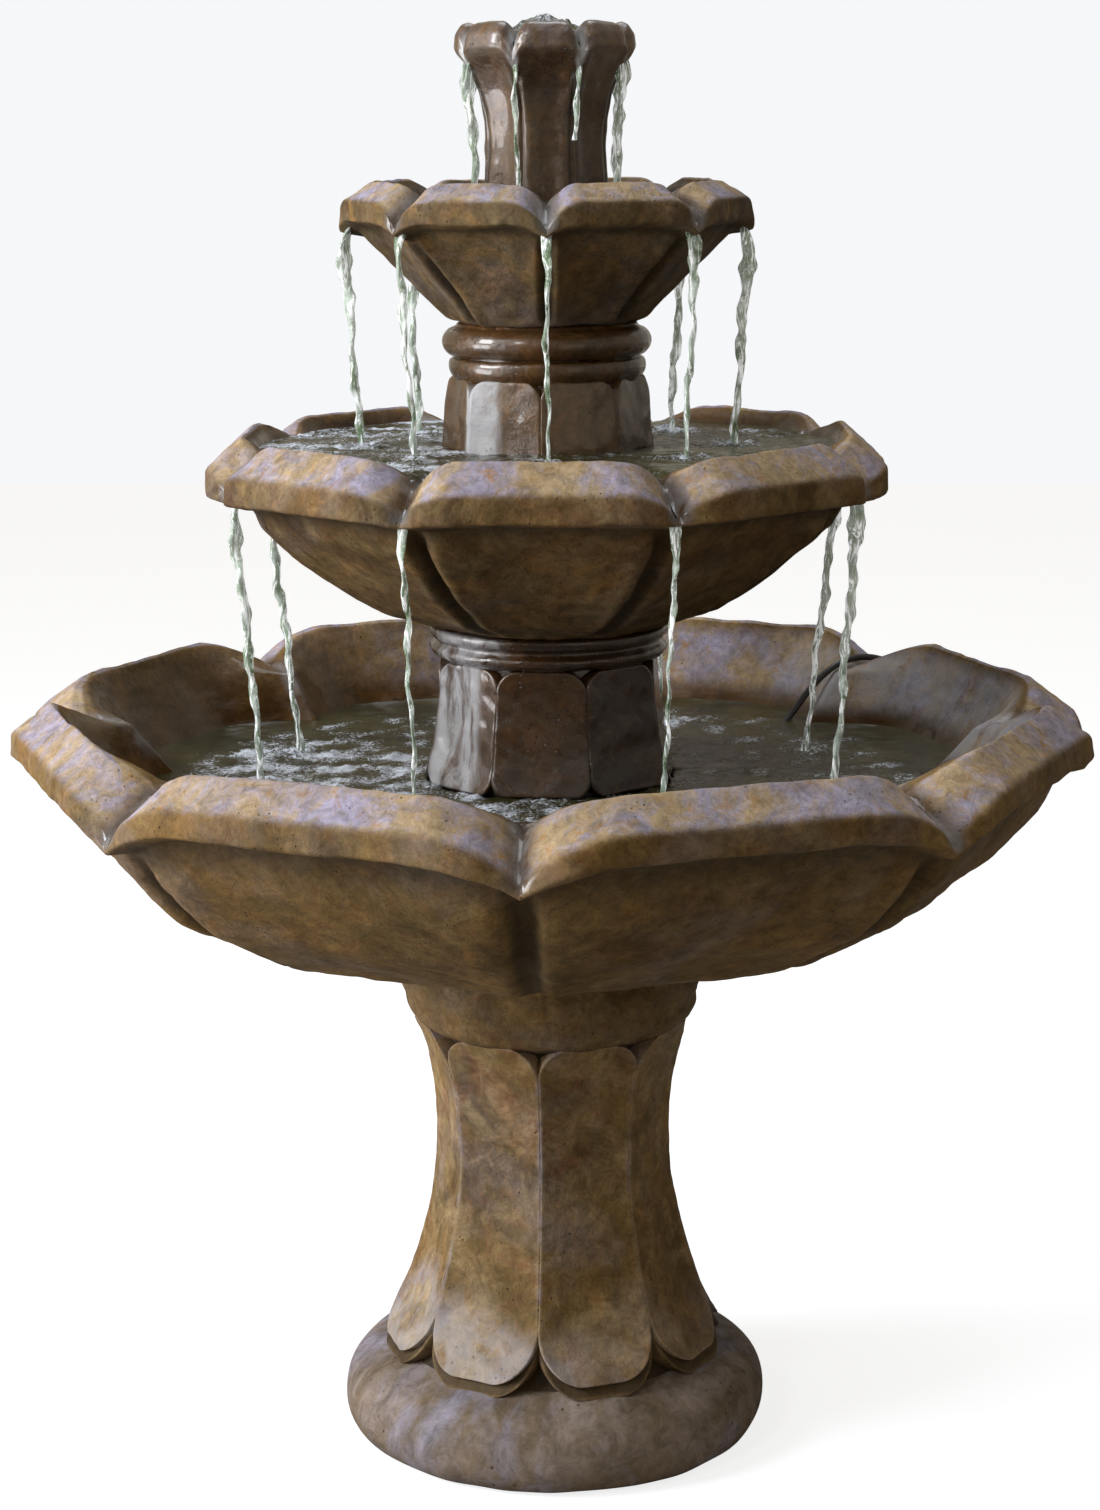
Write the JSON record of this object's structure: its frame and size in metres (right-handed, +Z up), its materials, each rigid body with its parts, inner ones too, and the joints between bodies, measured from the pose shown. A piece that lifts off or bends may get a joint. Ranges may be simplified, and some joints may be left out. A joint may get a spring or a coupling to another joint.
{
  "type": "tiered water fountain",
  "caption": "Tiered garden fountain of cast stone: petal-edged bowls on a waisted pedestal, a tulip-shaped top cup and a hidden pump that lifts water to fall from bowl to bowl.",
  "frame": {"origin": "on the ground at the middle of the pedestal's round base", "axes": "+Z up, the height of the fountain; -Y is the front, towards which a notch of the main bowl points; the pump's lead leaves at the back, +Y"},
  "size_m": [1.1464, 1.1464, 1.5142],
  "materials": {
    "cast_stone": "matte",
    "wet_cast_stone": "gloss",
    "pump_black_plastic": "matte",
    "black_rubber": "matte",
    "impeller_plastic": "satin",
    "white_ceramic": "satin",
    "grey_plastic": "matte",
    "yellow_brass": "satin",
    "clear_vinyl": "gloss",
    "stainless_steel": "satin",
    "cord_jacket": "satin",
    "tie_fabric": "matte",
    "plug_rubber": "matte",
    "plug_brass": "polished"
  },
  "bodies": {
    "fountain": {"pedestal": "cast_stone", "main_bowl": "cast_stone", "lower_riser": "wet_cast_stone", "middle_bowl": "cast_stone", "upper_riser": "wet_cast_stone", "upper_bowl": "cast_stone", "top_cup": "wet_cast_stone", "pump_motor_housing": "pump_black_plastic", "pump_volute_cover": "pump_black_plastic", "volute_seal": "black_rubber", "impeller_shaft": "white_ceramic", "intake_strainer": "grey_plastic", "suction_feet": "black_rubber", "cord_gland": "black_rubber", "outlet_adaptor": "yellow_brass", "riser_hose": "clear_vinyl", "hose_clamp": "stainless_steel", "hose_clamp_screw": "stainless_steel", "middle_bowl_seal": "black_rubber", "upper_bowl_seal": "black_rubber", "top_cup_seal": "black_rubber", "spout_nozzle": "yellow_brass", "cord_lead": "cord_jacket", "cord_coil": "cord_jacket", "coil_tie": "tie_fabric", "cord_tail": "cord_jacket", "plug_body": "plug_rubber", "plug_pins": "plug_brass", "cord_clip": "grey_plastic"},
    "impeller": {"impeller": "impeller_plastic"},
    "flow_dial": {"flow_control_dial": "impeller_plastic"},
    "drain_stopper": {"drain_stopper": "black_rubber"}
  },
  "joints": [
    {"name": "impeller_spin", "type": "hinge", "parent": "fountain", "child": "impeller", "pos_m": [0, 0, 0.646], "axis": [-0.7071, -0.7071, 0], "continuous": true},
    {"name": "flow_dial_turn", "type": "hinge", "parent": "fountain", "child": "flow_dial", "pos_m": [-0.044, -0.044, 0.646], "axis": [-0.7071, -0.7071, 0], "range_deg": [0, 90]},
    {"name": "drain_stopper_pull", "type": "slide", "parent": "fountain", "child": "drain_stopper", "axis": [0, 0, 1], "range_m": [0, 0.06]}
  ]
}
